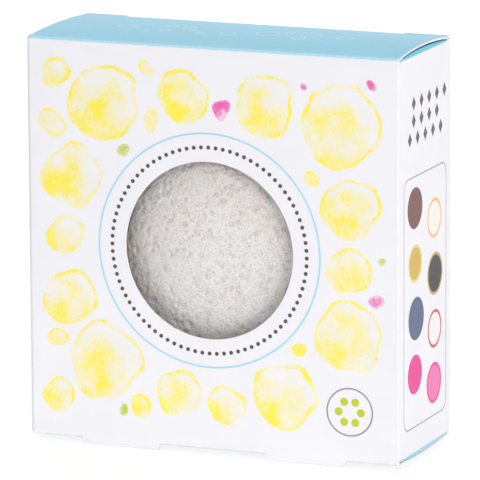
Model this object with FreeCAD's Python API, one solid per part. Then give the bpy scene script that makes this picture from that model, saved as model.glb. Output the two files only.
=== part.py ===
"""Konjac sponge in its windowed tuck carton, in millimetres.

Frame: +Z up, the front with the window faces -Y, +X is right as seen from the front.
The origin is under the middle of the carton, on the surface its feet stand on.
The carton is one creased blank: panels and flaps are flat board, and each crease
is a strip of the same board bent round its fold line.
"""
import FreeCAD
import Part
import math
import os

Vec = FreeCAD.Vector
X = Vec(1, 0, 0)
Y = Vec(0, 1, 0)
Z = Vec(0, 0, 1)

# carton, outside
carton_w = 88.0
carton_d = 32.6
carton_h = 90.3
board = 0.45
fold_r = 0.8

# feet left standing in the front and back panels
foot_h = 1.2
foot_w = 18.6
foot_pitch = 44.2
foot_corner_r = 0.6
foot_root = 3.0
foot_slit = 0.3

# closures and their flaps
lid_open_max = math.radians(203.0)
lid_inset = 0.4
lid_bow_left = 0.5
lid_bow_right = 0.9
base_bow_left = 0.4
base_bow_right = 0.6
ear_w = 10.3
ear_root = 1.0
tuck_len = 9.0
tuck_inset = 2.0
tuck_taper = 4.0
tuck_corner_r = 6.0
tuck_lean = math.radians(15.5)
dust_len = 17.0
dust_front_angle = math.radians(40.0)
dust_rear_angle = math.radians(10.0)
dust_front_gap = 1.0
dust_rear_gap = 2.1
dust_corner_r = 2.0

# seam and window
glue_flap_w = 12.0
glue_flap_end = math.radians(15.0)
glue_t = 0.05
window_d = 39.8
window_x = -0.6
window_drop = 0.25
film_t = 0.05
film_margin = 3.5
film_corner_r = 3.0
glue_ring_margin = 1.0
glue_ring_w = 2.6
seam_margin = 2.0
seam_end_margin = 5.0

# sponge
sponge_edge_r = 9.0
sponge_back_r = 7.0
sponge_side_gap = 3.05
sponge_headroom = 8.1
sponge_back_gap = 3.8

# clearances
fold_gap = 0.03
tuck_gap = 0.15
ear_gap = 0.1
dust_gap_top = 0.15
dust_gap_base = 0.15
sponge_gap = 0.3
tuck_leg = 0.3
shoulder_h = 0.3

# derived
fold_in = fold_r - board
x_side = carton_w / 2
y_front = -carton_d / 2
y_back = carton_d / 2
z_base = foot_h
z_top = foot_h + carton_h
x_fold = x_side - fold_r
y_fold = y_back - fold_r
fold_back = 1 / math.tan((1.5 * math.pi - lid_open_max) / 2)
leg_out = fold_back * fold_r
leg_in = fold_back * fold_in
lid_half = x_side - lid_inset
tuck_half = lid_half - ear_w
y_tuck_fold = y_back - board - tuck_gap - fold_r
film_front = y_front + board + glue_t
sponge_front = film_front + film_t + sponge_gap
sponge_room_w = carton_w - 2 * board - 2 * sponge_side_gap
sponge_room_h = carton_h - 2 * board - sponge_headroom
sponge_d = min(sponge_room_w, sponge_room_h)
sponge_r = sponge_d / 2
sponge_t = y_back - board - sponge_back_gap - sponge_front
sponge_rim_y = sponge_front + sponge_t - sponge_back_r
window_z = z_base + carton_h / 2 - window_drop
glue_ring_in_d = window_d + 2 * glue_ring_margin
glue_ring_out_d = glue_ring_in_d + 2 * glue_ring_w
film_w = glue_ring_out_d + 2 * film_margin
seam_x = -(x_side - board - glue_t)


def bow_at(y):
    """Share of a closure's bow that is left at depth y, as a flat parabola."""
    half = (y_tuck_fold + y_fold) / 2
    middle = (y_tuck_fold - y_fold) / 2
    return 1 - ((y - middle) / half) ** 2


base_bow = (base_bow_left + base_bow_right) / 2
sponge_z = z_base + board - base_bow * bow_at(sponge_rim_y) + sponge_gap + sponge_r


class Fold:
    """A fold line: the wall runs along -v, the flap along +u, both tangent to the bend."""

    def __init__(self, origin, u, v, along):
        self.origin = origin
        self.u = u
        self.v = v
        self.along = along

    def at(self, u, v, n=0.0):
        return self.origin + self.u * u + self.v * v + self.along * n


def prism(ring, sweep):
    """A polygon of points swept along a vector."""
    return Part.Face(Part.makePolygon(ring + ring[:1])).extrude(sweep)


def rounded(shape, radius, picks):
    """The shape with a radius on the straight edges that picks accepts."""
    edges = [e for e in shape.Edges if picks(e)]
    return shape.makeFillet(radius, edges)


def crease(fold, start, end, lean, outer_leg, inner_leg):
    """Board bent round a fold, with a short leg on each side of the bend."""
    side = (math.cos(lean), -math.sin(lean))
    out = (math.sin(lean), math.cos(lean))
    half = (math.pi / 2 + lean) / 2

    def flap_point(r, s):
        return fold.at(out[0] * r + side[0] * s, out[1] * r + side[1] * s, start)

    def bend(r):
        middle = fold.at(-r * math.cos(half), r * math.sin(half), start)
        return Part.Arc(fold.at(-r, 0, start), middle, flap_point(r, 0)).toShape()

    wall_out = fold.at(-fold_r, -outer_leg, start)
    wall_in = fold.at(-fold_in, -inner_leg, start)
    edges = [
        Part.makeLine(wall_out, fold.at(-fold_r, 0, start)),
        bend(fold_r),
        Part.makeLine(flap_point(fold_r, 0), flap_point(fold_r, outer_leg)),
        Part.makeLine(flap_point(fold_r, outer_leg), flap_point(fold_in, inner_leg)),
        Part.makeLine(flap_point(fold_in, inner_leg), flap_point(fold_in, 0)),
        bend(fold_in),
        Part.makeLine(fold.at(-fold_in, 0, start), wall_in),
        Part.makeLine(wall_in, wall_out),
    ]
    wire = Part.Wire(Part.__sortEdges__(edges))
    return Part.Face(wire).extrude(fold.along * (end - start))


def corner_fold(cx, cy, turn, low, high):
    """A standing corner of the carton: a quarter of a tube, turned about Z."""
    tube = Part.makeCylinder(fold_r, high - low, Vec(cx, cy, low), Z, 90)
    bore = Part.makeCylinder(fold_in, high - low, Vec(cx, cy, low), Z, 90)
    strip = tube.cut(bore)
    strip.rotate(Vec(cx, cy, 0), Z, turn)
    return strip


def lid_fold(top):
    """The fold between the front panel and a closure."""
    if top:
        return Fold(Vec(0, -y_fold, z_top - fold_r), Y, Z, X)
    return Fold(Vec(0, -y_fold, z_base + fold_r), Y, -Z, X)


def tuck_fold(top):
    """The fold between a closure and its tuck flap."""
    if top:
        return Fold(Vec(0, y_tuck_fold, z_top - fold_r), -Z, Y, X)
    return Fold(Vec(0, y_tuck_fold, z_base + fold_r), Z, Y, X)


def dust_fold(top, right):
    """The fold between a side panel and a dust flap."""
    if top:
        z = z_top - board - dust_gap_top - fold_r
        v = Z
    else:
        z = z_base + board + dust_gap_base + fold_r
        v = -Z
    if right:
        return Fold(Vec(x_fold, 0, z), -X, v, Y)
    return Fold(Vec(-x_fold, 0, z), X, v, Y)


def feet(y):
    """Two feet standing below a panel whose outer or inner face starts at y."""
    tabs = []
    for side in (-1, 1):
        x = side * foot_pitch / 2 - foot_w / 2
        tab = Part.makeBox(foot_w, board, foot_h + foot_root, Vec(x, y, 0))

        def lower_corner(edge):
            mid = edge.CenterOfMass
            return mid.z < 1e-6 and edge.BoundBox.YLength > board / 2

        tabs.append(rounded(tab, foot_corner_r, lower_corner))
    return tabs


def foot_spans():
    """The x ranges that the feet and their slits take out of the fold below them."""
    half = foot_w / 2 + foot_slit
    return [(s * foot_pitch / 2 - half, s * foot_pitch / 2 + half) for s in (-1, 1)]


def front_panel():
    """The front, with the round window, ending at the folds of both closures."""
    top = lid_fold(True)
    base = lid_fold(False)
    ring = [
        top.at(-fold_r, -leg_out - fold_gap, -x_fold),
        top.at(-fold_in, -leg_in - fold_gap, -x_fold),
        base.at(-fold_in, -leg_in - fold_gap, -x_fold),
        base.at(-fold_r, -leg_out - fold_gap, -x_fold),
    ]
    panel = prism(ring, X * (2 * x_fold))
    for tab in feet(y_front):
        panel = panel.fuse(tab)
    hole = Part.makeCylinder(window_d / 2, 3 * board, Vec(window_x, y_front - board, window_z), Y)
    return panel.cut(hole).removeSplitter()


def back_panel():
    """The back, from the right corner to the seam corner, with its two feet."""
    low, high = back_height()
    left = seam_x + fold_r
    panel = Part.makeBox(x_fold - left, board, high - low, Vec(left, y_back - board, low))
    for tab in feet(y_back - board):
        panel = panel.fuse(tab)
    return panel.removeSplitter()


def dust_span():
    """The y range of a dust flap along its fold."""
    return y_front + dust_front_gap, y_back - dust_rear_gap


def bevel(fold, start, end):
    """What a wall loses at a fold so that its flap can turn right back over it."""
    out = -fold_r - board
    inside = -fold_in + fold_in / 2
    ring = [
        fold.at(out, fold_back * out - fold_gap, start),
        fold.at(inside, fold_back * inside - fold_gap, start),
        fold.at(inside, fold_r, start),
        fold.at(out, fold_r, start),
    ]
    return prism(ring, fold.along * (end - start))


def side_panel(right):
    """A side between its two dust flap folds. The left one covers the seam."""
    top = dust_fold(True, right)
    base = dust_fold(False, right)
    start = -y_fold
    end = y_fold if right else y_back - ear_gap
    x = x_side - board if right else -x_side
    low = base.origin.z - shoulder_h
    high = top.origin.z + shoulder_h
    panel = Part.makeBox(board, end - start, high - low, Vec(x, start, low))
    first, last = dust_span()
    for fold in (top, base):
        panel = panel.cut(bevel(fold, first - ear_gap, last + ear_gap))
    rear = last + ear_gap
    rear_low, rear_high = back_height()
    post = Part.makeBox(board, end - rear, rear_high - rear_low, Vec(x, rear, rear_low))
    return panel.fuse(post).removeSplitter()


def front_corner_height():
    """The z range of the corners beside the front, between the closures' folds."""
    low = lid_fold(False).origin.z + leg_out + fold_gap
    high = lid_fold(True).origin.z - leg_out - fold_gap
    return low, high


def seam_height():
    """The z range of the seam flap, clear of the dust flaps' folds."""
    low = dust_fold(False, False).origin.z + leg_out + seam_margin
    high = dust_fold(True, False).origin.z - leg_out - seam_margin
    return low, high


def back_height():
    """The z range of the back panel, under and over the lock ears."""
    return z_base + board + ear_gap, z_top - board - ear_gap


def glue_flap():
    """The seam flap, folded off the back and lying inside the left side."""
    low, high = seam_height()
    drop = glue_flap_w * math.tan(glue_flap_end)
    ring = [
        Vec(seam_x, y_fold, low),
        Vec(seam_x, y_fold, high),
        Vec(seam_x, y_fold - glue_flap_w, high - drop),
        Vec(seam_x, y_fold - glue_flap_w, low + drop),
    ]
    return prism(ring, X * board)


def seam_glue():
    """The line of glue between the seam flap and the left side."""
    low, high = seam_height()
    corner = Vec(seam_x - glue_t, y_fold - glue_flap_w + seam_margin, low + seam_end_margin)
    height = high - low - 2 * seam_end_margin
    return Part.makeBox(glue_t, glue_flap_w - 2 * seam_margin, height, corner)


def window_film():
    """The clear patch behind the window."""
    corner = Vec(window_x - film_w / 2, film_front, window_z - film_w / 2)
    patch = Part.makeBox(film_w, film_t, film_w, corner)
    return rounded(patch, film_corner_r, lambda e: e.BoundBox.YLength > film_t / 2)


def window_glue():
    """The ring of glue that holds the patch to the back of the front panel."""
    centre = Vec(window_x, film_front - glue_t, window_z)
    disc = Part.makeCylinder(glue_ring_out_d / 2, glue_t, centre, Y)
    return disc.cut(Part.makeCylinder(glue_ring_in_d / 2, glue_t, centre, Y))


def lid_section(fold, rear, x, bow):
    """The outline of a bowed closure across its depth, at x."""
    depth = rear.origin.y - fold.origin.y
    middle = depth / 2
    front_out = fold.at(leg_out, fold_r, x)
    rear_out = fold.at(depth - tuck_leg - fold_gap, fold_r, x)
    rear_in = fold.at(depth - tuck_leg - fold_gap, fold_in, x)
    front_in = fold.at(leg_in, fold_in, x)
    edges = [
        Part.Arc(front_out, fold.at(middle, fold_r + bow, x), rear_out).toShape(),
        Part.makeLine(rear_out, rear_in),
        Part.Arc(rear_in, fold.at(middle, fold_in + bow, x), front_in).toShape(),
        Part.makeLine(front_in, front_out),
    ]
    return Part.Wire(edges)


def lid(top):
    """A closure panel with its lock ears, and in the base with the feet cut out of it."""
    fold = lid_fold(top)
    rear = tuck_fold(top)
    bows = (lid_bow_left, lid_bow_right) if top else (base_bow_left, base_bow_right)
    left = lid_section(fold, rear, -lid_half, bows[0])
    right = lid_section(fold, rear, lid_half, bows[1])
    panel = Part.makeLoft([left, right], True, True)
    z_low = z_top - board if top else z_base
    y_ear = y_tuck_fold - tuck_leg - ear_root
    for x in (-lid_half, tuck_half):
        ear = Part.makeBox(ear_w, y_back - y_ear, board, Vec(x, y_ear, z_low))
        panel = panel.fuse(ear)
    if not top:
        reach = math.hypot(z_base + fold_r, fold_r) + foot_slit
        for low, high in foot_spans():
            below = Vec(low, fold.origin.y, z_base - max(bows) - board)
            panel = panel.cut(Part.makeBox(high - low, reach, 3 * board + max(bows), below))
    return panel.removeSplitter()


def lid_crease(top):
    """The bend along the front edge of a closure. The base one is cut by the feet."""
    fold = lid_fold(top)
    if top:
        spans = [(-lid_half, lid_half)]
    else:
        (a, b), (c, d) = foot_spans()
        spans = [(-lid_half, a), (b, c), (d, lid_half)]
    strips = [crease(fold, s, e, 0.0, leg_out, leg_in) for s, e in spans]
    return strips[0] if len(strips) == 1 else Part.makeCompound(strips)


def tuck_flap(top):
    """A tuck flap leaning inwards: shoulders cut free of the ears, tapered sides, round lower corners."""
    fold = tuck_fold(top)
    out = fold.u * math.sin(tuck_lean) + fold.v * math.cos(tuck_lean)
    down = fold.u * math.cos(tuck_lean) - fold.v * math.sin(tuck_lean)
    wide = lid_half - tuck_inset
    narrow = wide - tuck_taper
    neck = tuck_half - ear_gap
    shoulder = y_back - y_tuck_fold + tuck_gap
    outline = [
        (-neck, tuck_leg),
        (neck, tuck_leg),
        (neck, shoulder),
        (wide, shoulder),
        (narrow, tuck_len),
        (-narrow, tuck_len),
        (-wide, shoulder),
        (-neck, shoulder),
    ]
    inside = fold.origin + out * fold_in
    ring = [inside + X * x + down * reach for x, reach in outline]
    flap = prism(ring, out * board)

    def tip_corner(edge):
        mid = edge.CenterOfMass - fold.origin
        across = edge.Length < 2 * board
        return across and mid.dot(down) > tuck_len - board

    return rounded(flap, tuck_corner_r, tip_corner)


def tuck_crease(top):
    """The bend between a closure and its tuck flap, between the two lock ears."""
    neck = tuck_half - ear_gap
    return crease(tuck_fold(top), -neck, neck, tuck_lean, tuck_leg, tuck_leg)


def dust_flap(top, right):
    """A dust flap, cut back at the closure's fold so that it clears the moving closure."""
    fold = dust_fold(top, right)
    start, end = dust_span()
    ring = [
        fold.at(leg_out, fold_r, start),
        fold.at(dust_len, fold_r, start),
        fold.at(dust_len, fold_in, start),
        fold.at(leg_in, fold_in, start),
    ]
    plate = prism(ring, Y * (end - start))
    tip_front = start + dust_len * math.tan(dust_front_angle)
    tip_rear = end - dust_len * math.tan(dust_rear_angle)
    outline = [
        fold.at(0, 0, start),
        fold.at(dust_len, 0, tip_front),
        fold.at(dust_len, 0, tip_rear),
        fold.at(0, 0, end),
    ]
    flap = plate.common(prism(outline, fold.v * (2 * fold_r)))
    tip = fold.at(dust_len, 0).x

    def tip_corner(edge):
        mid = edge.CenterOfMass
        return abs(mid.x - tip) < 1e-6 and edge.BoundBox.ZLength > board / 2

    return rounded(flap, dust_corner_r, tip_corner)


def dust_crease(top, right):
    """The bend between a side panel and a dust flap."""
    start, end = dust_span()
    fold = dust_fold(top, right)
    return crease(fold, start, end, 0.0, leg_out, leg_in)


def sponge():
    """A domed puff with a flat back, standing on edge with its dome at the window."""
    back = sponge_front + sponge_t
    rim = sponge_rim_y
    depth = rim - sponge_front
    inner = sponge_r - sponge_edge_r
    crown_r = (inner ** 2 + depth ** 2 - sponge_edge_r ** 2) / (2 * (depth - sponge_edge_r))
    spread = math.atan2(inner, sponge_front + crown_r - rim)

    def on_crown(angle):
        return Vec(0, crown_r - crown_r * math.cos(angle), crown_r * math.sin(angle))

    def on_ring(radius, angle):
        return Vec(0, rim - radius * math.cos(angle), sponge_r - radius + radius * math.sin(angle))

    axis = Vec(0, 0, sponge_z)
    tip = axis + Vec(0, sponge_front, 0)
    shoulder = tip + on_crown(spread)
    rim_top = axis + Vec(0, rim, sponge_r)
    back_edge = axis + on_ring(sponge_back_r, math.pi)
    middle = (spread + math.pi / 2) / 2
    edges = [
        Part.Arc(tip, tip + on_crown(spread / 2), shoulder).toShape(),
        Part.Arc(shoulder, axis + on_ring(sponge_edge_r, middle), rim_top).toShape(),
        Part.Arc(rim_top, axis + on_ring(sponge_back_r, 0.75 * math.pi), back_edge).toShape(),
        Part.makeLine(back_edge, axis + Vec(0, back, 0)),
        Part.makeLine(axis + Vec(0, back, 0), tip),
    ]
    return Part.Face(Part.Wire(edges)).revolve(axis, Y, 360)


def nodes():
    """Every piece by name."""
    low, high = front_corner_height()
    back_low, back_high = back_height()
    seam_corner = seam_x + fold_r
    made = {
        "front_panel": front_panel(),
        "back_panel": back_panel(),
        "left_panel": side_panel(False),
        "right_panel": side_panel(True),
        "front_left_fold": corner_fold(-x_fold, -y_fold, 180, low, high),
        "front_right_fold": corner_fold(x_fold, -y_fold, 270, low, high),
        "back_right_fold": corner_fold(x_fold, y_fold, 0, back_low, back_high),
        "back_left_fold": corner_fold(seam_corner, y_fold, 90, back_low, back_high),
        "glue_flap": glue_flap(),
        "seam_glue": seam_glue(),
        "window_film": window_film(),
        "window_glue": window_glue(),
        "sponge": sponge(),
    }
    for end, top in (("top", True), ("bottom", False)):
        made[end + "_lid"] = lid(top)
        made[end + "_lid_crease"] = lid_crease(top)
        made[end + "_tuck_flap"] = tuck_flap(top)
        made[end + "_tuck_crease"] = tuck_crease(top)
        for side, right in (("left", False), ("right", True)):
            made[end + "_" + side + "_dust_flap"] = dust_flap(top, right)
            made[end + "_" + side + "_dust_crease"] = dust_crease(top, right)
    return made


os.makedirs("parts", exist_ok=True)
for name, shape in nodes().items():
    shape.exportStep("parts/" + name + ".step")
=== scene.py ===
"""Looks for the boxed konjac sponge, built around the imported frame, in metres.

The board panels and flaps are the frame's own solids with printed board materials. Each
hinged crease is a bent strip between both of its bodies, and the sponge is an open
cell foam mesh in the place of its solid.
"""
import math
import random

import bpy
import numpy as np
from mathutils import Matrix, Vector, kdtree


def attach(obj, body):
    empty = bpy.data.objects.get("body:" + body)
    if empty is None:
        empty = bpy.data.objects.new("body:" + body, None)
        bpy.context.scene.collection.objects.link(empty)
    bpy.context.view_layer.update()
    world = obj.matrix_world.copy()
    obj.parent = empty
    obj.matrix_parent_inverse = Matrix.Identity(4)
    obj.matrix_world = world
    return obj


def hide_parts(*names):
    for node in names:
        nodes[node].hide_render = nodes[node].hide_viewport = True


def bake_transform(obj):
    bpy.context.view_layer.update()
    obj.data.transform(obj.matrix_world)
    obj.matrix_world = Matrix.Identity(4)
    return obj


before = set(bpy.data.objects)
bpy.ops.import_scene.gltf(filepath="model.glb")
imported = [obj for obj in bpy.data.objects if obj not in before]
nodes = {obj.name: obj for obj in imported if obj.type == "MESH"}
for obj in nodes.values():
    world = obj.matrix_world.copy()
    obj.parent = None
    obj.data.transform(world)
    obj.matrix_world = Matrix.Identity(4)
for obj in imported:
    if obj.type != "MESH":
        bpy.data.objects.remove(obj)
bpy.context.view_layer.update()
scene = bpy.context.scene
scene.view_settings.view_transform = "Standard"

MM = 0.001

# carton and sponge sizes that the new pieces share with the solids, in millimetres
BOARD = 0.45
FOLD_R = 0.8
FOLD_IN = FOLD_R - BOARD
LEG = 1.209
TUCK_LEG = 0.3
TUCK_LEAN = math.radians(15.5)
X_SIDE = 44.0
X_FOLD = X_SIDE - FOLD_R
Y_FRONT = -16.3
Y_FOLD = Y_FRONT + FOLD_R
Z_BASE = 1.2
Z_TOP = 91.5
CORNER_END = 43.85
NECK_HALF = 33.2
Y_TUCK = 14.9
DUST_START = -15.3
DUST_END = 14.2
Z_DUST_TOP = 90.1
Z_DUST_BASE = 2.6
LID_BOW = {"left": 0.5, "right": 0.9}
BASE_BOW = {"left": 0.4, "right": 0.6}
WINDOW = (-0.6, 46.1)
SPONGE_Z = 42.012
SPONGE_FRONT = -15.45
SPONGE_R = 40.5
SPONGE_T = 27.5
SPONGE_EDGE_R = 9.0
SPONGE_BACK_R = 7.0
SPONGE_RIM = SPONGE_FRONT + SPONGE_T - SPONGE_BACK_R

# bent strips, in millimetres: how far a strip runs over the board at its two sides, how far its
# outer face lies over the board's, and the x ranges of the feet that the bottom one runs up to
STRIP_OVERLAP = 0.12
STRIP_LIFT = 0.012
FOOT_SPANS = [(-31.35, -12.85), (12.85, 31.35)]

# a strip's mesh: steps over each leg and round the bend, the length of a step along the fold, closer
# steps where it rounds a corner of the carton, and the angle from which its edges stay crisp
LEG_STEPS = 4
BEND_STEPS = 12
ALONG_STEP = 1.5
CORNER_STEPS, CORNER_STEP = 6, 0.1
SHARP_ANGLE = math.radians(40.0)

# how much the dust creases swell, in shares of the bow of the lid at their end
TOP_SWELL = 0.95
BASE_SWELL = 1.25

# where the ink starts across each kind of crease, in millimetres on the run that is LEG where
# the bend starts, how far to both sides it goes on the top one, and how far round the bend it is
# stretched most and shows its painted highlight, in radians
LID_INK_FROM = LEG + 0.35 * FOLD_R
DUST_INK_FROM = LEG + 0.62
SILL_INK_FROM = LEG + 0.25
BASE_INK_FROM = LEG + FOLD_R * math.pi / 2
INK_EVERYWHERE = -9.0
LID_INK_HALF = X_SIDE - 0.3
STRETCH_HIGHLIGHT_TURN = 0.75

# mesh steps of the foam: behind the window, on the rest of the dome, and on the back
CAP_R = 22.5
CAP_STEP, FRONT_STEP, BACK_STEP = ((0.22, 0.42, 0.5))

# the foam: its skin in square millimetres, its pits and two sizes of cells in millimetres with their
# shares of its relief, and how far their random places stray, in shares of their spacing
SPONGE_AREA = 12900.0
SEED_STRAY = 0.3
PIT_SPACING, PIT_R, PIT_SHARE = 1.6, 1.2, 0.95
CELL_SPACING, CELL_WALL, CELL_SHARE = 0.85, 0.36, 0.4
FINE_SPACING, FINE_WALL, FINE_SHARE = 0.46, 0.26, 0.24
FOAM_RELIEF = 0.42
FOAM_INSET = 0.04

# how far the crown of the puff lies above its middle, because the loose puff leans in the carton
SPONGE_LEAN = 6.0

# print on the front, in millimetres: radii of crayon spots and the box that they keep to, the line
# and the ring of dots round the window, and a small ring of petals at the lower right
PRINT_LOW, PRINT_HIGH = (-41.0, 6.5), (41.0, 87.5)
BUBBLES = [
    9.4, 9.0, 8.8, 8.4, 8.0, 7.6, 7.2, 7.0, 6.6, 6.2, 5.8, 5.4, 5.0, 4.8,
    4.6, 4.2, 4.0, 3.8, 3.6, 3.4, 3.2, 3.0, 2.8, 2.6, 2.4, 2.2, 2.0, 1.8,
]
PINK_SPOTS = [2.6, 1.9, 1.5, 1.2]
GREEN_SPOTS = [1.8, 1.3, 1.1]
SCATTER_TRIES = 4000
KEYLINE_R = 26.2
KEYLINE_CLEAR = 0.6
DOT_RING_R, DOTS, DOT_R = 23.1, 84, 0.46
EMBLEM, EMBLEM_R, EMBLEM_CLEAR_R = (32.5, 12.5), 5.3, 6.6
PETALS, PETAL_RING_R, PETAL_R = 6, 2.6, 0.95

# crayon: how far a drawn edge wanders, how far in its outline runs, and the pressure from the
# middle of a spot to its edge, on bubbles that fade and on spots that are filled
CRAYON_WANDER = 5.0
CRAYON_LINE_IN = 0.7
FADED = [(0.0, 0.7), (0.3, 0.66), (0.6, 0.51), (0.85, 0.34), (1.0, 0.23)]
FILLED = [(0.0, 0.8), (0.75, 0.76), (1.0, 0.66)]

# print on the right side, in millimetres: a frame, discs in it (y, z, radius, colour of the body
# and of the rim), and rows of diamonds above it (first y, z, count), each up to the place where its
# weighted distances along y and z add up to its half width
FRAME_MID, FRAME_HALF, FRAME_CORNER_R = (0.0, 36.0), (13.2, 28.0), 2.6
DISC_RIM = 0.65
DISCS = [
    (-6.4, 57.0, 4.6, (112, 66, 56), (112, 66, 56)),
    (5.8, 52.6, 4.4, (253, 244, 232), (240, 190, 120)),
    (-6.2, 44.6, 4.2, (214, 176, 72), (236, 208, 128)),
    (6.2, 40.0, 4.8, (34, 32, 34), (198, 168, 92)),
    (-5.6, 32.2, 4.8, (70, 92, 128), (70, 92, 128)),
    (6.0, 27.6, 4.3, (250, 240, 240), (206, 62, 66)),
    (-6.4, 19.8, 4.4, (232, 40, 142), (232, 40, 142)),
    (5.6, 15.4, 4.6, (240, 112, 178), (232, 40, 142)),
]
DIAMOND_ROWS = [(-9.6, 72.5, 5), (-7.2, 76.4, 4), (-7.2, 80.3, 5)]
DIAMOND_PITCH = 4.8
DIAMOND_HALF = 1.2
DIAMOND_WEIGHTS = (1.0, 0.75, 0.0)

# print on the top, in millimetres: radii of rings and the box that they keep to
RINGS = [2.6, 2.2, 2.2, 1.8, 1.8, 1.5, 1.5, 1.2, 1.2, 1.0, 1.0, 0.8, 0.8]
RINGS_LOW, RINGS_HIGH = (-30.0, -5.0), (30.0, 4.5)

# soft square lamps, in metres and watts: place, power, and whether they show in the board's sheen
LAMP_SIZE = 0.7
LAMP_AIM = (0, 0, 0.04)
LAMPS = {
    "key": ((1.05, -0.6, 0.15), 10.0, True),
    "front": ((0.35, -1.1, 0.65), 3.65, True),
    "side": ((1.1, 0.5, 0.2), 0.75, True),
    "fill": ((-1.05, -0.6, 0.3), 1.9, True),
    "top": ((0.0, 0.15, 1.0), 2.5, True),
    "back": ((-0.5, 1.0, 0.3), 7.4, False),
}

# the glow of the white floor in front of the carton, a small weak lamp that faces up
GLOW_PLACE = (0.0, -0.0965, 0.0001)
GLOW_AIM = (0, -0.0965, 1.0)
GLOW_SIZE = 0.16
GLOW_WATTS = 0.018

FLOOR_HALF = 3.0


def linear(r, g, b):
    """A colour as it is seen on a screen, 0 to 255, in the linear values that shaders take."""
    out = []
    for c in (r, g, b):
        c = c / 255
        out.append(c / 12.92 if c <= 0.04045 else ((c + 0.055) / 1.055) ** 2.4)
    return (*out, 1.0)


WHITE_COAT = linear(242, 241, 246)
# the white coat made a little darker on the rounded corner folds: painted shade that keeps their highlight
# down
FOLD_COAT_PAINTED_SHADE = linear(233, 232, 236)
BLUE_INK = linear(134, 209, 236)
# paler blue at the folds: partly ink stretched at the creases, partly a painted highlight
BLUE_STRETCH_HIGHLIGHT = linear(198, 236, 248)
# a deeper, darker copy of the blue ink on the top dust creases: painted shade in the gap under the lid
BLUE_DEEP_SHADE = linear(96, 196, 226)
# a paler, greyer copy of the blue ink on the bottom dust creases: painted shade, the sliver at the base as
# it looks in shade
BLUE_PALE_SHADE = linear(168, 212, 232)
RAW_BACK = linear(235, 229, 219)
CUT_CORE = linear(243, 243, 242)
INK_DARK = linear(78, 68, 72)
INK_LINE = linear(150, 146, 150)
KEYLINE_INK = linear(158, 219, 240)
CRAYON_YELLOW = linear(255, 238, 58)
CRAYON_PINK = linear(236, 96, 178)
CRAYON_GREEN = linear(196, 208, 40)
FOAM_STRAND = linear(255, 254, 253)
# the foam's colour deepest in the pits: painted shade in the pores
FOAM_PIT_SHADE = linear(219, 215, 213)
# a warm tint that grows to the sponge's rim: painted shade, the warm shade at the window's edges
FOAM_RIM_SHADE = linear(252, 240, 236)
GLUE_DARK = linear(224, 221, 209)
GLUE_PALE = linear(240, 238, 230)


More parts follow.
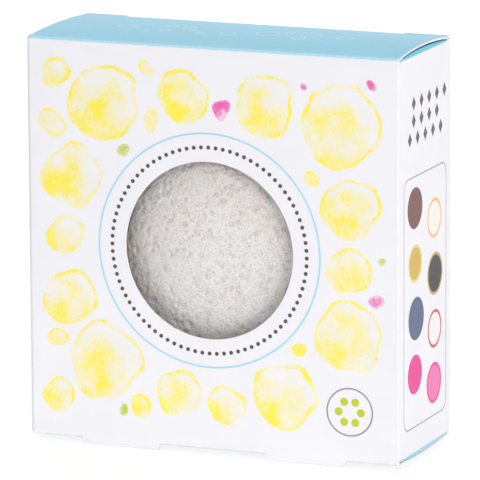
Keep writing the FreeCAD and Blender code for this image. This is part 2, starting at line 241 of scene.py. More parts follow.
class Tree:
    """The node tree of a material or a world, with short calls for the nodes that this scene uses."""

    def __init__(self, owner, output="OutputMaterial"):
        self.owner = owner
        owner.use_nodes = True
        self.nt = owner.node_tree
        self.nt.nodes.clear()
        self.out = self.node(output)

    def node(self, kind, **settings):
        """A node with some of its settings."""
        made = self.nt.nodes.new("ShaderNode" + kind)
        for key, value in settings.items():
            setattr(made, key, value)
        return made

    def put(self, socket, value):
        """Gives a socket a value, or links it to another node's output."""
        if isinstance(value, bpy.types.NodeSocket):
            self.nt.links.new(value, socket)
        else:
            socket.default_value = value

    def fed(self, kind, **inputs):
        """A node with some of its sockets filled, by their names with _ for a space."""
        made = self.node(kind)
        for key, value in inputs.items():
            self.put(made.inputs[key.replace("_", " ")], value)
        return made

    def surface(self, shader):
        self.put(self.out.inputs["Surface"], shader.outputs[0])

    def surface_mix(self, share, a, b):
        """A surface of shader a, with a share of shader b."""
        mix = self.node("MixShader")
        for socket, value in zip(mix.inputs, (share, a.outputs[0], b.outputs[0])):
            self.put(socket, value)
        self.surface(mix)

    def math(self, operation, *values):
        made = self.node("Math", operation=operation)
        for socket, value in zip(made.inputs, values):
            self.put(socket, value)
        return made.outputs[0]

    def chain(self, operation, values):
        """One operation along a list of values, such as the least of them."""
        total = values[0]
        for value in values[1:]:
            total = self.math(operation, total, value)
        return total

    def vector(self, operation, a, b=None):
        made = self.node("VectorMath", operation=operation)
        self.put(made.inputs[0], a)
        if b is not None:
            self.put(made.inputs["Scale" if operation == "SCALE" else 1], b)
        return made.outputs["Value" if operation in ("LENGTH", "DISTANCE", "DOT_PRODUCT") else "Vector"]

    def join(self, x, y, z):
        made = self.node("CombineXYZ")
        for socket, value in zip(made.inputs, (x, y, z)):
            self.put(socket, value)
        return made.outputs[0]

    def split(self, vector):
        return self.fed("SeparateXYZ", Vector=vector).outputs

    def blend(self, share, a, b):
        """Colour a, with a share of colour b."""
        made = self.node("Mix", data_type="RGBA")
        self.put(made.inputs[0], share)
        self.put(made.inputs[6], a)
        self.put(made.inputs[7], b)
        return made.outputs[2]

    def reach(self, value, low, high, to_low=0.0, to_high=1.0, smooth=True):
        """A value brought from the range low to high to another range, and kept inside that."""
        made = self.node("MapRange", interpolation_type="SMOOTHSTEP" if smooth else "LINEAR")
        for socket, v in zip(made.inputs, (value, low, high, to_low, to_high)):
            self.put(socket, v)
        return made.outputs[0]

    def within(self, value, edge, soft):
        """1 where a value is below an edge and 0 above it, eased over soft to both sides."""
        return self.reach(value, edge - soft, edge + soft, 1.0, 0.0)

    def line(self, value, at, half, soft):
        """1 along a line of some half width, where a value is at, and 0 beside it."""
        return self.within(self.math("ABSOLUTE", self.math("SUBTRACT", value, at)), half, soft)

    def noise(self, vector, scale, detail=2.0, roughness=0.5, distortion=0.0):
        made = self.fed(
            "TexNoise", Vector=vector, Scale=scale, Detail=detail, Roughness=roughness, Distortion=distortion
        )
        return made.outputs["Fac"]

    def wander(self, vector, scale, detail=2.0):
        """A slow change of place, from -0.5 to 0.5 on each axis."""
        made = self.fed("TexNoise", Vector=vector, Scale=scale, Detail=detail)
        return self.vector("SUBTRACT", made.outputs["Color"], (0.5, 0.5, 0.5))

    def ramp(self, value, stops):
        """A grey that runs through stops, each a place from 0 to 1 and a shade."""
        made = self.fed("ValToRGB", Fac=value)
        points = made.color_ramp.elements
        while len(points) < len(stops):
            points.new(1.0)
        for point, (place, shade) in zip(points, stops):
            point.position = place
            point.color = (shade, shade, shade, 1.0)
        return made.outputs["Color"]

    def bump(self, height, distance, strength):
        return self.fed("Bump", Height=height, Distance=distance, Strength=strength).outputs["Normal"]

    def places(self):
        """Object coordinates in millimetres."""
        return self.vector("SCALE", self.node("TexCoord").outputs["Object"], 1 / MM)


def new_tree(name):
    return Tree(bpy.data.materials.new(name))


def near(tree, place, spots):
    """The least of the distances to some spots, each in shares of the spot's own radius."""
    shares = [tree.math("DIVIDE", tree.vector("DISTANCE", place, (x, z, 0.0)), r) for x, z, r in spots]
    return tree.chain("MINIMUM", shares)


def scatter(rng, radii, low, high, keep_off, gap):
    """Spots of the given radii, placed at random in a box and clear of each other and of keep_off."""
    spots = []
    taken = list(keep_off)
    for r in radii:
        for _ in range(SCATTER_TRIES):
            x = rng.uniform(low[0] + r, high[0] - r)
            z = rng.uniform(low[1] + r, high[1] - r)
            if all(math.hypot(x - a, z - b) > r + c + gap for a, b, c in taken):
                spots.append((x, z, r))
                taken.append((x, z, r))
                break
    return spots


def crayon(tree, place, spots, filling, aside=0.0):
    """How much wax a crayon leaves on each spot: an outline and an inside, on the paper's tooth.

    The inside's heaviest place lies to the lower left by aside, and it fades from there.
    """
    shift = tree.vector("SCALE", tree.wander(place, scale=0.11, detail=1.5), CRAYON_WANDER)
    flat = tree.vector("MULTIPLY", tree.vector("ADD", place, shift), (1.0, 1.0, 0.0))
    insides = [tree.math("SUBTRACT", r, tree.vector("DISTANCE", flat, (x, z, 0.0))) for x, z, r in spots]
    depth = tree.chain("MAXIMUM", insides)
    from_line = tree.math("ABSOLUTE", tree.math("SUBTRACT", depth, CRAYON_LINE_IN))
    line = tree.reach(from_line, 0.25, 0.8, 0.66, 0.0)
    left, down, wide = 0.3 * aside, 0.42 * aside, 1.0 + 0.5 * aside
    heavy = [(x - left * r, z - down * r, wide * r) for x, z, r in spots]
    body = tree.math("MULTIPLY", tree.ramp(near(tree, flat, heavy), filling), tree.reach(depth, 0.0, 0.9))
    tooth = tree.noise(place, scale=1.15, detail=5.0, roughness=0.72)
    patch = tree.reach(tree.noise(place, scale=0.16), 0.3, 0.7, 0.7, 1.2)
    press = tree.math("MULTIPLY", tree.math("MAXIMUM", line, body), patch)
    grain = tree.reach(tree.math("SUBTRACT", press, tooth), -0.2, 0.34)
    return tree.math("ADD", tree.math("MULTIPLY", grain, 0.85), tree.math("MULTIPLY", press, 0.16))


def board_surface(tree, place, colour, coat):
    """Board with a faint orange peel over a broader unevenness, rougher where it has no coat."""
    peel = tree.noise(place, scale=1.3, detail=3.0, roughness=0.6)
    broad = tree.noise(place, scale=0.07)
    height = tree.math("ADD", tree.math("MULTIPLY", peel, 0.35), tree.math("MULTIPLY", broad, 6.0))
    cloud = tree.noise(place, scale=0.5, detail=4.0, roughness=0.6)
    satin = tree.reach(cloud, 0.25, 0.75, 0.33, 0.44, False)
    bare = tree.reach(coat, 0.0, 1.0, 0.4, 0.0, False)
    tree.surface(tree.fed(
        "BsdfPrincipled",
        Base_Color=colour,
        Roughness=tree.math("ADD", satin, bare),
        Normal=tree.bump(height, 0.004 * MM, 1.0),
        IOR=1.5,
    ))


def raw_colour(tree, place, inside):
    """Uncoated board with its fibres: the white core on cut edges, and the creamy back inside."""
    stretched = tree.vector("MULTIPLY", place, (1.0, 1.0, 3.0))
    fibre = tree.noise(stretched, scale=1.1, detail=5.0, roughness=0.7)
    tone = tree.reach(fibre, 0.3, 0.7, 0.97, 1.02, False)
    return tree.vector("SCALE", tree.blend(inside, CUT_CORE, RAW_BACK), tone)


def coated(tree, place, colour):
    """A coat or ink with a slight unevenness of tone."""
    cloud = tree.noise(place, scale=0.11, detail=3.0, roughness=0.55)
    return tree.vector("SCALE", colour, tree.reach(cloud, 0.3, 0.7, 0.988, 1.012, False))


def board_material(name, facing, ink):
    """Board that is printed on the side whose normal lies along facing and raw elsewhere."""
    tree = new_tree(name)
    place = tree.places()
    toward = tree.vector("DOT_PRODUCT", tree.node("TexCoord").outputs["Normal"], facing)
    outside = tree.reach(toward, 0.55, 0.75)
    inside = tree.reach(toward, -0.75, -0.55, 1.0, 0.0)
    printed = coated(tree, place, ink(tree, place))
    board_surface(tree, place, tree.blend(outside, raw_colour(tree, place, inside), printed), outside)
    return tree.owner


def plain_ink(colour):
    """An ink of one colour, as a value that the coat's tone then varies."""

    def ink(tree, place):
        return colour[:3]

    return ink


def front_ink(tree, place):
    """The front: crayon spots, a keyline round the window, dots inside it and a small ring of petals."""
    x, _, z = tree.split(place)
    flat = tree.join(x, z, 0.0)
    rng = random.Random(11)
    clear = [(*WINDOW, KEYLINE_R + KEYLINE_CLEAR), (*EMBLEM, EMBLEM_CLEAR_R)]
    yellow = scatter(rng, BUBBLES, PRINT_LOW, PRINT_HIGH, clear, gap=0.8)
    pink = scatter(rng, PINK_SPOTS, PRINT_LOW, PRINT_HIGH, [*clear, *yellow], gap=0.5)
    green = scatter(rng, GREEN_SPOTS, PRINT_LOW, PRINT_HIGH, [*clear, *yellow, *pink], gap=0.4)
    colour = tree.blend(crayon(tree, flat, yellow, FADED, aside=1.0), WHITE_COAT, CRAYON_YELLOW)
    colour = tree.blend(crayon(tree, flat, pink, FILLED), colour, CRAYON_PINK)
    colour = tree.blend(crayon(tree, flat, green, FILLED), colour, CRAYON_GREEN)
    away = tree.vector("DISTANCE", flat, (*WINDOW, 0.0))
    band = tree.reach(away, KEYLINE_R, KEYLINE_R + 0.1, 1.0, 0.0, False)
    colour = tree.blend(band, colour, WHITE_COAT)
    colour = tree.blend(tree.line(away, KEYLINE_R, half=0.19, soft=0.05), colour, KEYLINE_INK)
    colour = tree.blend(ring_of_dots(tree, flat, away), colour, INK_DARK)
    mid_x, mid_z = EMBLEM
    turns = [k * math.tau / PETALS for k in range(PETALS)]
    mids = [(mid_x + PETAL_RING_R * math.cos(a), mid_z + PETAL_RING_R * math.sin(a)) for a in turns]
    petals = [(*mid, PETAL_R) for mid in mids]
    colour = tree.blend(tree.within(near(tree, flat, petals), 0.975, 0.075), colour, CRAYON_GREEN)
    off = tree.vector("DISTANCE", flat, (*EMBLEM, 0.0))
    return tree.blend(tree.line(off, EMBLEM_R, half=0.18, soft=0.06), colour, INK_LINE)


def ring_of_dots(tree, flat, away):
    """Small dots set evenly round the window."""
    x, z, _ = tree.split(tree.vector("SUBTRACT", flat, (*WINDOW, 0.0)))
    turn = tree.math("MULTIPLY", tree.math("ARCTAN2", z, x), DOTS / math.tau)
    part = tree.math("SUBTRACT", tree.math("FRACT", tree.math("ADD", turn, 0.5)), 0.5)
    along = tree.math("MULTIPLY", part, math.tau * DOT_RING_R / DOTS)
    across = tree.math("SUBTRACT", away, DOT_RING_R)
    return tree.within(tree.vector("LENGTH", tree.join(along, across, 0.0)), DOT_R, 0.06)


def side_ink(tree, place):
    """The right side: a thin round-cornered frame with plain coloured discs, and diamonds above it."""
    _, y, z = tree.split(place)
    flat = tree.join(y, z, 0.0)
    offset = tree.vector("ABSOLUTE", tree.vector("SUBTRACT", flat, (*FRAME_MID, 0.0)))
    straight = (FRAME_HALF[0] - FRAME_CORNER_R, FRAME_HALF[1] - FRAME_CORNER_R, 0.0)
    past = tree.vector("MAXIMUM", tree.vector("SUBTRACT", offset, straight), (0.0, 0.0, 0.0))
    edge = tree.line(tree.vector("LENGTH", past), FRAME_CORNER_R, half=0.14, soft=0.06)
    colour = tree.blend(edge, WHITE_COAT, INK_LINE)
    for disc_y, disc_z, r, body, rim in DISCS:
        away = tree.vector("DISTANCE", flat, (disc_y, disc_z, 0.0))
        colour = tree.blend(tree.within(away, r, 0.1), colour, linear(*rim))
        colour = tree.blend(tree.within(away, r - DISC_RIM, 0.1), colour, linear(*body))
    sizes = []
    for first, mark_z, count in DIAMOND_ROWS:
        for k in range(count):
            spot = (first + DIAMOND_PITCH * k, mark_z, 0.0)
            step = tree.vector("ABSOLUTE", tree.vector("SUBTRACT", flat, spot))
            sizes.append(tree.vector("DOT_PRODUCT", step, DIAMOND_WEIGHTS))
    return tree.blend(tree.within(tree.chain("MINIMUM", sizes), DIAMOND_HALF, 0.08), colour, INK_DARK)


def lid_ink(tree, place):
    """The top: blue with thin pale rings, and a painted highlight beside the front fold."""
    x, y, _ = tree.split(place)
    flat = tree.join(x, y, 0.0)
    gaps = []
    for a, b, r in scatter(random.Random(5), RINGS, RINGS_LOW, RINGS_HIGH, [], gap=0.9):
        away = tree.vector("DISTANCE", flat, (a, b, 0.0))
        gaps.append(tree.math("ABSOLUTE", tree.math("SUBTRACT", away, r)))
    line = tree.reach(tree.chain("MINIMUM", gaps), 0.1, 0.22, 0.55, 0.0)
    # paler over the first 2.4 mm behind the front fold: a painted highlight
    fold_highlight = tree.reach(y, Y_FOLD, Y_FOLD + 2.4, 0.2, 0.0)
    return tree.blend(line, tree.blend(fold_highlight, BLUE_INK, BLUE_STRETCH_HIGHLIGHT), WHITE_COAT)


def strip_material(name, ink_from, ink, stretched, ink_half=X_SIDE):
    """Board bent in a crease: coat on the wall side and ink from ink_from on, up to ink_half aside.

    The ink turns to the stretched colour round the bend, in a cracked way: partly ink stretched by
    the crease, partly a painted highlight on the fold.
    """
    tree = new_tree(name)
    strip = tree.node("Attribute", attribute_name="strip").outputs["Vector"]
    along, across, outer = tree.split(tree.vector("MULTIPLY", strip, (1 / MM, 1 / MM, 1.0)))
    place = tree.join(along, across, 0.0)
    aside = tree.math("ABSOLUTE", along)
    waver = tree.reach(tree.noise(place, scale=0.6), 0.2, 0.8, -0.05, 0.05, False)
    inked = tree.reach(tree.math("ADD", across, waver), ink_from - 0.03, ink_from + 0.03)
    inked = tree.math("MULTIPLY", inked, tree.within(aside, ink_half + 0.05, 0.05))
    # paler round the bend, cracked: ink stretched by the crease, and a painted highlight on the fold
    bend = tree.line(across, LEG + FOLD_R * STRETCH_HIGHLIGHT_TURN, half=0.5, soft=0.4)
    crack = tree.reach(tree.noise(place, scale=1.6, detail=4.0, roughness=0.7), 0.35, 0.7, 0.6, 0.95)
    printed = tree.blend(tree.math("MULTIPLY", bend, crack), ink, stretched)
    # round the carton's corners the coat turns darker: painted shade on the folds' highlight
    coat = tree.blend(tree.reach(aside, X_FOLD - 0.1, X_FOLD + 0.1), WHITE_COAT, FOLD_COAT_PAINTED_SHADE)
    face = tree.blend(inked, coated(tree, place, coat), printed)
    board_surface(tree, place, tree.blend(outer, raw_colour(tree, place, 1.0), face), outer)
    return tree.owner


def film_material():
    """Clear film: see-through, with a soft reflection and a few faint ripples."""
    tree = new_tree("clear_film")
    ripple = tree.noise(tree.places(), scale=0.05)
    gloss = tree.fed("BsdfGlossy", Roughness=0.12, Normal=tree.bump(ripple, 0.4 * MM, 0.5))
    clear = tree.fed("BsdfTransparent", Color=(0.998, 0.998, 0.997, 1.0))
    slant = tree.fed("LayerWeight", Blend=0.12).outputs["Fresnel"]
    tree.surface_mix(tree.math("MULTIPLY", slant, 0.45), clear, gloss)
    return tree.owner


def glue_material():
    """Dried glue, slightly milky and uneven."""
    tree = new_tree("dried_glue")
    tone = tree.noise(tree.places(), scale=0.6, detail=4.0, roughness=0.6)
    colour = tree.blend(tree.reach(tone, 0.3, 0.7), GLUE_DARK, GLUE_PALE)
    normal = tree.bump(tone, 0.02 * MM, 0.6)
    tree.surface(tree.fed("BsdfPrincipled", Base_Color=colour, Roughness=0.45, Normal=normal))
    return tree.owner


def foam_material():
    """Konjac foam: pores with painted shade, a fine pale web and hairs, and painted warm shade to its rim.
    """
    tree = new_tree("konjac_foam")
    place = tree.places()
    pit = tree.node("Attribute", attribute_name="pit").outputs["Fac"]
    cells = tree.node("TexVoronoi", feature="DISTANCE_TO_EDGE")
    tree.put(cells.inputs["Vector"], tree.vector("ADD", place, tree.wander(place, scale=0.9)))
    tree.put(cells.inputs["Scale"], 1.4)
    web = tree.reach(cells.outputs["Distance"], 0.0, 0.26, 1.0, 0.0)
    hair = tree.noise(place, scale=2.6, detail=4.0, roughness=0.7, distortion=0.6)
    broad = tree.noise(place, scale=0.12)
    # darker with the depth of the pits: painted shade in the pores, lightened along the web
    deep = tree.math("SUBTRACT", pit, tree.math("MULTIPLY", web, 0.9))
    deep = tree.math("ADD", deep, tree.reach(hair, 0.3, 0.7, -0.15, 0.2, False))
    deep = tree.math("ADD", deep, tree.reach(broad, 0.3, 0.7, -0.05, 0.1, False))
    colour = tree.blend(tree.reach(deep, -0.75, 0.85, 0.0, 1.0, False), FOAM_STRAND, FOAM_PIT_SHADE)
    # warmer towards the rim: painted warm shade
    flat = tree.vector("MULTIPLY", tree.vector("SUBTRACT", place, (0.0, 0.0, SPONGE_Z)), (1.0, 0.0, 1.0))
    rim = tree.reach(tree.vector("LENGTH", flat), 0.0, SPONGE_R, smooth=False)
    colour = tree.blend(rim, colour, tree.vector("MULTIPLY", colour, FOAM_RIM_SHADE[:3]))
    height = tree.math("ADD", tree.math("MULTIPLY", web, 0.6), tree.math("MULTIPLY", hair, 0.5))
    tree.surface(tree.fed(
        "BsdfPrincipled",
        Base_Color=colour,
        Roughness=0.92,
        Normal=tree.bump(height, 0.05 * MM, 0.6),
        Subsurface_Weight=0.7,
        Subsurface_Radius=(0.9, 0.65, 0.55),
        Subsurface_Scale=1.0 * MM,
        Sheen_Weight=0.2,
        Sheen_Roughness=0.6,
    ))
    return tree.owner


def set_material(node, material):
    """Gives a solid of the frame one material."""
    data = nodes[node].data
    data.materials.clear()
    data.materials.append(material)
    data.polygons.foreach_set("material_index", [0] * len(data.polygons))


def mesh_object(name, points, faces, material):
    """A smooth-shaded mesh in the scene."""
    mesh = bpy.data.meshes.new(name)
    mesh.from_pydata([tuple(p) for p in points], [], faces)
    mesh.update()
    mesh.polygons.foreach_set("use_smooth", [True] * len(mesh.polygons))
    mesh.materials.append(material)
    made = bpy.data.objects.new(name, mesh)
    scene.collection.objects.link(made)
    return made


def places_along(start, end):
    """Places along a strip, closer together where it rounds a corner of the carton."""
    cells = max(2, int((end - start) / ALONG_STEP))
    even = [start + (end - start) * c / cells for c in range(cells + 1)]
    extra = [side * (X_FOLD + CORNER_STEP * k) for side in (-1, 1) for k in range(CORNER_STEPS)]
    return sorted(set(even) | {n for n in extra if start < n < end})


def strip_path(lean, leg):
    """Stations of a crease from the wall round its fold to the flap.

    Each has the normal and the offset of its place, on the fold's axes u and v, and the run of the
    outer face up to it. The run is LEG where the bend starts, whatever the leg.
    """
    stations = []
    side = leg + STRIP_OVERLAP
    for i in range(LEG_STEPS):
        left = side * (1 - i / LEG_STEPS)
        stations.append(((-1.0, 0.0), (0.0, -left), LEG - left))
    turn = math.pi / 2 + lean
    for i in range(BEND_STEPS + 1):
        a = turn * i / BEND_STEPS
        stations.append(((-math.cos(a), math.sin(a)), (0.0, 0.0), LEG + FOLD_R * a))
    for i in range(1, LEG_STEPS + 1):
        s = side * i / LEG_STEPS
        offset = (math.cos(lean) * s, -math.sin(lean) * s)
        stations.append(((math.sin(lean), math.cos(lean)), offset, LEG + FOLD_R * turn + s))
    return stations


def corner_dip(x):
    """How far the carton's round corner falls back from its front, at x from the middle."""
    over = max(0.0, x - X_FOLD)
    return FOLD_R - math.sqrt(FOLD_R ** 2 - over ** 2)


def crease_strip(name, origin, axes, spans, leg, material, lean=0.0, rounded=False, bow=0.0):
    """A strip of board bent round a fold, in one mesh that knows each point's place on the strip.

    The axes are u from the wall into the carton, v along the wall to the fold, and the fold's own line.
    A rounded strip follows the carton's corners. With a bow the bend swells most in the middle of its
    length, as a fold does that its lid leaves room.
    """
    origin = Vector(origin)
    u, v, along = (Vector(axis) for axis in axes)
    stations = strip_path(lean, leg)
    last = len(stations) - 1
    points, faces, marks = [], [], []
    for start, end in spans:
        rows = []
        for n in places_along(start, end):
            dip = corner_dip(abs(n)) if rounded else 0.0
            swell = bow * (1.0 - ((2.0 * n - start - end) / (end - start)) ** 2)
            outer, inner = [], []
            for k, ((nu, nv), (du, dv), run) in enumerate(stations):
                rise = swell * math.sin(math.pi * k / last)
                for radius, row, flag in ((FOLD_R + STRIP_LIFT, outer, 1.0), (FOLD_IN, inner, 0.0)):
                    p = origin + u * (nu * radius + du + dip) + v * (nv * radius + dv + rise) + along * n
                    row.append(len(points))
                    points.append(p * MM)
                    marks.append((n * MM, (run + rise) * MM, flag))
            rows.append(outer + inner[::-1])
        size = len(rows[0])
        for a, b in zip(rows, rows[1:]):
            for k in range(size):
                j = (k + 1) % size
                faces.append((a[k], a[j], b[j], b[k]))
        faces.append(tuple(rows[0][::-1]))
        faces.append(tuple(rows[-1]))
    made = mesh_object(name, points, faces, material)
    attribute = made.data.attributes.new("strip", "FLOAT_VECTOR", "POINT")
    attribute.data.foreach_set("vector", np.array(marks, np.float32).ravel())
    mend_normals(made)
    return made


def mend_normals(piece):
    """Turns every face outwards and keeps sharp edges crisp."""
    bpy.context.view_layer.objects.active = piece
    piece.select_set(True)
    bpy.ops.object.mode_set(mode="EDIT")
    bpy.ops.mesh.select_all(action="SELECT")
    bpy.ops.mesh.normals_make_consistent(inside=False)
    bpy.ops.object.mode_set(mode="OBJECT")
    piece.data.set_sharp_from_angle(angle=SHARP_ANGLE)
    piece.select_set(False)


def all_creases():
    """Every hinged crease, each a bent strip between the two bodies that its joint joins."""
    blue = strip_material("crease_lid", LID_INK_FROM, BLUE_INK, BLUE_STRETCH_HIGHLIGHT, LID_INK_HALF)
    # the top dust creases take a darker copy of the blue ink, painted shade
    dust = strip_material("crease_dust", DUST_INK_FROM, BLUE_DEEP_SHADE, BLUE_DEEP_SHADE)
    # the bottom dust creases take a paler, greyer copy of the blue ink, painted shade
    sill = strip_material("crease_sill", SILL_INK_FROM, BLUE_PALE_SHADE, BLUE_PALE_SHADE)
    base = strip_material("crease_base", BASE_INK_FROM, BLUE_INK, BLUE_STRETCH_HIGHLIGHT, X_FOLD)
    inked = strip_material("crease_inked", INK_EVERYWHERE, BLUE_INK, BLUE_STRETCH_HIGHLIGHT)
    lids = (
        ("top", Z_TOP - FOLD_R, 1.0, [(-CORNER_END, CORNER_END)], blue),
        ("bottom", Z_BASE + FOLD_R, -1.0, cut_by_feet(), base),
    )
    for end, z, up, spans, skin in lids:
        name = end + "_lid_crease"
        axes = (0, 1, 0), (0, 0, up), (1, 0, 0)
        piece = crease_strip(name + "_bend", (0, Y_FOLD, z), axes, spans, LEG, skin, rounded=True)
        follow(piece, name)
        name = end + "_tuck_crease"
        axes = (0, 0, -up), (0, 1, 0), (1, 0, 0)
        neck = [(-NECK_HALF, NECK_HALF)]
        piece = crease_strip(name + "_bend", (0, Y_TUCK, z), axes, neck, TUCK_LEG, inked, lean=TUCK_LEAN)
        follow(piece, name)
    dusts = (
        ("top", Z_DUST_TOP, 1.0, dust, TOP_SWELL, LID_BOW),
        ("bottom", Z_DUST_BASE, -1.0, sill, BASE_SWELL, BASE_BOW),
    )
    whole = [(DUST_START, DUST_END)]
    for end, z, up, skin, swell, bows in dusts:
        for side, sign in (("left", -1.0), ("right", 1.0)):
            flap = end + "_" + side + "_dust"
            name = flap + "_crease"
            axes = (-sign, 0, 0), (0, 0, up), (0, 1, 0)
            bow = swell * bows[side]
            piece = crease_strip(name + "_bend", (sign * X_FOLD, 0, z), axes, whole, LEG, skin, bow=bow)
            follow(piece, name)


def cut_by_feet():
    """The stretches of the bottom crease that the feet leave."""
    (a, b), (c, d) = FOOT_SPANS
    return [(-CORNER_END, a), (b, c), (d, CORNER_END)]


def follow(piece, node):
    """Puts a bent strip in the place of its crease node, between the two bodies."""
    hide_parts(node)
    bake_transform(piece)


def sponge_profile():
    """Points down the sponge's outline with their mesh steps.

    They run from the dome's tip round the rim to the middle of the back.
    """
    depth = SPONGE_RIM - SPONGE_FRONT
    inner = SPONGE_R - SPONGE_EDGE_R
    crown = (inner ** 2 + depth ** 2 - SPONGE_EDGE_R ** 2) / (2 * (depth - SPONGE_EDGE_R))
    spread = math.atan2(inner, SPONGE_FRONT + crown - SPONGE_RIM)
    cap = math.asin(CAP_R / crown)
    back = SPONGE_FRONT + SPONGE_T
    points = []

    def add_arc(r, y, radius, start, end, step):
        count = round(radius * (end - start) / step)
        for i in range(count):
            a = start + (end - start) * i / count
            points.append((r + radius * math.sin(a), y - radius * math.cos(a), step))

    add_arc(0.0, SPONGE_FRONT + crown, crown, 0.0, cap, CAP_STEP)
    add_arc(0.0, SPONGE_FRONT + crown, crown, cap, spread, FRONT_STEP)
    add_arc(inner, SPONGE_RIM, SPONGE_EDGE_R, spread, math.pi / 2, FRONT_STEP)
    flat = SPONGE_R - SPONGE_BACK_R
    add_arc(flat, SPONGE_RIM, SPONGE_BACK_R, math.pi / 2, math.pi, BACK_STEP)
    count = round(flat / BACK_STEP)
    points.extend((flat * (1 - i / count), back, BACK_STEP) for i in range(count + 1))
    return points


def ring_mesh(profile, rng):
    """A closed skin over the turned outline, as rings of evenly spaced points joined by triangles."""
    points, normals, rings = [], [], []
    last = len(profile) - 1
    for i, (r, y, step) in enumerate(profile):
        before, after = profile[max(i - 1, 0)], profile[min(i + 1, last)]
        tr, ty = after[0] - before[0], after[1] - before[1]
        size = math.hypot(tr, ty)
        nr, ny = (ty / size, -tr / size) if 0 < i < last else (0.0, -1.0 if i == 0 else 1.0)
        count = 1 if r < 1e-6 else max(6, round(math.tau * r / step))
        shift = rng.uniform(0, math.tau)
        ring = []
        for k in range(count):
            a = shift + math.tau * k / count
            ring.append((len(points), a))
            points.append((r * math.cos(a), y, r * math.sin(a)))
            normals.append((nr * math.cos(a), ny, nr * math.sin(a)))
        rings.append(ring)
    faces = []
    for low, high in zip(rings, rings[1:]):
        faces += zip_rings(low, high)
    return np.array(points), np.array(normals), faces


def zip_rings(low, high):
    """Triangles that face outwards between two rings of points whose angles both rise."""
    faces = []
    m, n = len(low), len(high)
    if m == 1:
        return [(low[0][0], high[k][0], high[(k + 1) % n][0]) for k in range(n)]
    if n == 1:
        return [(high[0][0], low[(k + 1) % m][0], low[k][0]) for k in range(m)]
    start = min(range(n), key=lambda k: abs(math.remainder(high[k][1] - low[0][1], math.tau)))
    i = j = 0
    while i < m or j < n:
        if j >= n or (i < m and (i + 0.5) / m <= (j + 0.5) / n):
            faces.append((low[i % m][0], high[(start + j) % n][0], low[(i + 1) % m][0]))
            i += 1
        else:
            faces.append((low[i % m][0], high[(start + j) % n][0], high[(start + j + 1) % n][0]))
            j += 1
    return faces


def spread_evenly(points):
    """Odds that choose points evenly over the sponge, although the mesh is finer behind the window."""
    near_axis = np.hypot(points[:, 0], points[:, 2]) < CAP_R
    front = points[:, 1] < SPONGE_RIM
    odds = np.where(front, np.where(near_axis, CAP_STEP ** 2, FRONT_STEP ** 2), BACK_STEP ** 2)
    return odds / odds.sum()


def seed_spots(points, spacing, rng):
    """Random spots about spacing apart over the sponge, in a tree that finds the nearest."""
    count = int(SPONGE_AREA / spacing ** 2)
    spots = points[rng.choice(len(points), count, p=spread_evenly(points))]
    spots = spots + rng.normal(0.0, SEED_STRAY * spacing, spots.shape)
    tree = kdtree.KDTree(count)
    for k, spot in enumerate(spots):
        tree.insert(Vector(spot), k)
    tree.balance()
    return tree, count


def ease(share):
    """A share from 0 to 1 with both its ends eased."""
    return share * share * (3.0 - 2.0 * share)


def cell_field(points, spacing, wall, rng):
    """How deep each point lies in a foam of cells.

    It is 0 on the walls between them, and up to 1 in the middle of a deep one.
    """
    tree, count = seed_spots(points, spacing, rng)
    deep = rng.uniform(0.25, 1.0, count)
    hollow = np.zeros(len(points))
    for k, point in enumerate(points):
        (_, i, first), (_, _, second) = tree.find_n(Vector(point), 2)
        hollow[k] = deep[i] * ease(min(1.0, (second - first) / wall))
    return hollow


def pit_field(points, spacing, radius, rng):
    """How deep each point lies in round pits of up to a radius, soft at their edges."""
    tree, count = seed_spots(points, spacing, rng)
    size = radius * rng.uniform(0.45, 1.0, count)
    hollow = np.zeros(len(points))
    for k, point in enumerate(points):
        _, i, away = tree.find(Vector(point))
        hollow[k] = ease(max(0.0, 1.0 - away / size[i])) * size[i] / radius
    return hollow


def sponge_piece():
    """The foam puff: a turned dome whose skin is broken by soft pits and two sizes of cells."""
    points, normals, faces = ring_mesh(sponge_profile(), random.Random(3))
    rng = np.random.default_rng(7)
    pits = pit_field(points, PIT_SPACING, PIT_R, rng)
    cells = cell_field(points, CELL_SPACING, CELL_WALL, rng)
    fine = cell_field(points, FINE_SPACING, FINE_WALL, rng)
    pit = np.clip(PIT_SHARE * pits + CELL_SHARE * cells + FINE_SHARE * fine, 0.0, 1.0)
    sunk = points - normals * (FOAM_RELIEF * pit + FOAM_INSET)[:, None]
    front = points[:, 1] < SPONGE_RIM
    inward = 1.0 - (points[:, 0] ** 2 + points[:, 2] ** 2) / SPONGE_R ** 2
    sunk[:, 2] += SPONGE_Z + np.where(front, SPONGE_LEAN * inward, 0.0)
    piece = mesh_object("sponge_foam", sunk * MM, faces, foam_material())
    attribute = piece.data.attributes.new("pit", "FLOAT", "POINT")
    attribute.data.foreach_set("value", pit.astype(np.float32))
    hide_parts("sponge")
    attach(piece, "sponge")


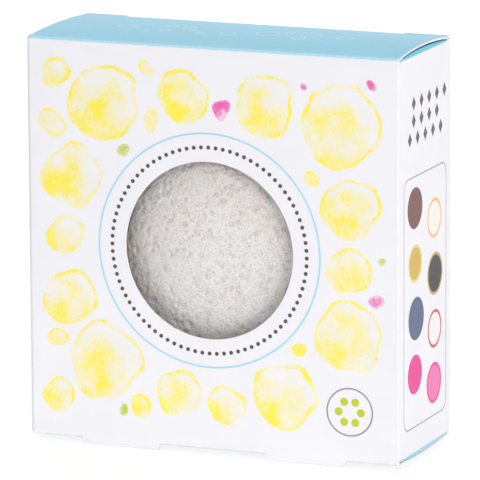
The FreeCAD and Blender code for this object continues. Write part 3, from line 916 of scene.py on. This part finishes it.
def dress_frame():
    """Printed board, film and glue on the frame's own solids."""
    white = plain_ink(WHITE_COAT)
    fold_coat_shaded = plain_ink(FOLD_COAT_PAINTED_SHADE)
    blue = plain_ink(BLUE_INK)
    out, back, left, right, up, down = (0, -1, 0), (0, 1, 0), (-1, 0, 0), (1, 0, 0), (0, 0, 1), (0, 0, -1)
    slant = math.sqrt(0.5)
    skins = {
        "front_panel": board_material("board_front", out, front_ink),
        "back_panel": board_material("board_back", back, white),
        "left_panel": board_material("board_left", left, white),
        "right_panel": board_material("board_right", right, side_ink),
        # the corner folds take the darker fold coat, painted shade
        "front_left_fold": board_material("fold_front_left", (-slant, -slant, 0), fold_coat_shaded),
        "front_right_fold": board_material("fold_front_right", (slant, -slant, 0), fold_coat_shaded),
        "back_right_fold": board_material("fold_back_right", (slant, slant, 0), fold_coat_shaded),
        "back_left_fold": board_material("fold_back_left", (-slant, slant, 0), fold_coat_shaded),
        "glue_flap": board_material("board_seam", left, white),
        "window_film": film_material(),
        "window_glue": glue_material(),
        "top_lid": board_material("board_top", up, lid_ink),
        "bottom_lid": board_material("board_base", down, blue),
        "top_tuck_flap": board_material("board_tuck", back, blue),
        "top_left_dust_flap": board_material("board_dust_top", up, blue),
        "bottom_left_dust_flap": board_material("board_dust_base", down, blue),
    }
    shared = {
        "seam_glue": "window_glue",
        "bottom_tuck_flap": "top_tuck_flap",
        "top_right_dust_flap": "top_left_dust_flap",
        "bottom_right_dust_flap": "bottom_left_dust_flap",
    }
    for node, skin in skins.items():
        set_material(node, skin)
    for node, like in shared.items():
        set_material(node, skins[like])


def seen_directly(tree):
    """1 for rays from the camera, from a gloss or through the film, and 0 for other rays."""
    light = tree.node("LightPath").outputs
    names = "Is Camera Ray", "Is Glossy Ray", "Is Transmission Ray"
    return tree.chain("MAXIMUM", [light[name] for name in names])


def floor_material():
    """A pale floor that shows white to the eye and keeps the object's shadow."""
    tree = new_tree("floor_pale")
    bounce = tree.fed("BsdfDiffuse", Color=(0.96, 0.96, 0.96, 1.0))
    shade = tree.fed("BsdfDiffuse", Color=(0.17, 0.17, 0.17, 1.0))
    glow = tree.fed("Emission", Strength=0.87)
    both = tree.node("AddShader")
    tree.put(both.inputs[0], shade.outputs[0])
    tree.put(both.inputs[1], glow.outputs[0])
    tree.surface_mix(seen_directly(tree), bounce, both)
    return tree.owner


def make_stage():
    """The floor, and a world that lights softly and shows white to the eye."""
    half = FLOOR_HALF
    corners = [(-half, -half, 0), (half, -half, 0), (half, half, 0), (-half, half, 0)]
    floor = mesh_object("floor", corners, [(0, 1, 2, 3)], floor_material())
    tree = Tree(bpy.data.worlds.new("studio"), "OutputWorld")
    soft = tree.fed("Background", Color=(0.99, 0.99, 1.0, 1.0), Strength=0.25)
    plain = tree.fed("Background", Color=(1.0, 1.0, 1.0, 1.0), Strength=1.0)
    tree.surface_mix(seen_directly(tree), soft, plain)
    scene.world = tree.owner


def area_lamp(name, place, aim, size, watts, gloss):
    """A soft square lamp. Without gloss it lights the board but doesn't show in its sheen."""
    data = bpy.data.lights.new(name, "AREA")
    data.shape = "SQUARE"
    data.size = size
    data.energy = watts
    lamp = bpy.data.objects.new(name, data)
    lamp.location = place
    lamp.visible_camera = False
    lamp.visible_glossy = gloss
    lamp.rotation_euler = (Vector(aim) - Vector(place)).to_track_quat("-Z", "Y").to_euler()
    scene.collection.objects.link(lamp)


def make_lamps():
    """The studio's lamps, and the glow of the floor."""
    for name, (place, watts, gloss) in LAMPS.items():
        area_lamp(name, place, LAMP_AIM, LAMP_SIZE, watts, gloss)
    area_lamp("table", GLOW_PLACE, GLOW_AIM, GLOW_SIZE, GLOW_WATTS, False)


def make_camera():
    """The photograph's view, fitted to the carton's corners."""
    azimuth, elevation, roll = math.radians(22.28), math.radians(11.67), math.radians(-0.316)
    target = Vector((0.00012, 0.0, 0.04546))
    distance = 1.2686
    sensor = 36.0
    focal_px, width_px = 5709, 480
    level = Vector((math.sin(azimuth), -math.cos(azimuth), 0.0))
    back = level * math.cos(elevation) + Vector((0.0, 0.0, math.sin(elevation)))
    right = Vector((math.cos(azimuth), math.sin(azimuth), 0.0))
    up = back.cross(right)
    x = right * math.cos(roll) + up * math.sin(roll)
    y = back.cross(x)
    data = bpy.data.cameras.new("camera")
    data.sensor_width = sensor
    data.lens = focal_px / width_px * sensor
    data.clip_start = 0.05
    data.clip_end = 20.0
    camera = bpy.data.objects.new("camera", data)
    turn = Matrix((x, y, back)).transposed().to_4x4()
    camera.matrix_world = Matrix.Translation(target + back * distance) @ turn
    scene.collection.objects.link(camera)
    scene.camera = camera


dress_frame()
all_creases()
sponge_piece()
make_stage()
make_lamps()
make_camera()

bpy.context.view_layer.update()
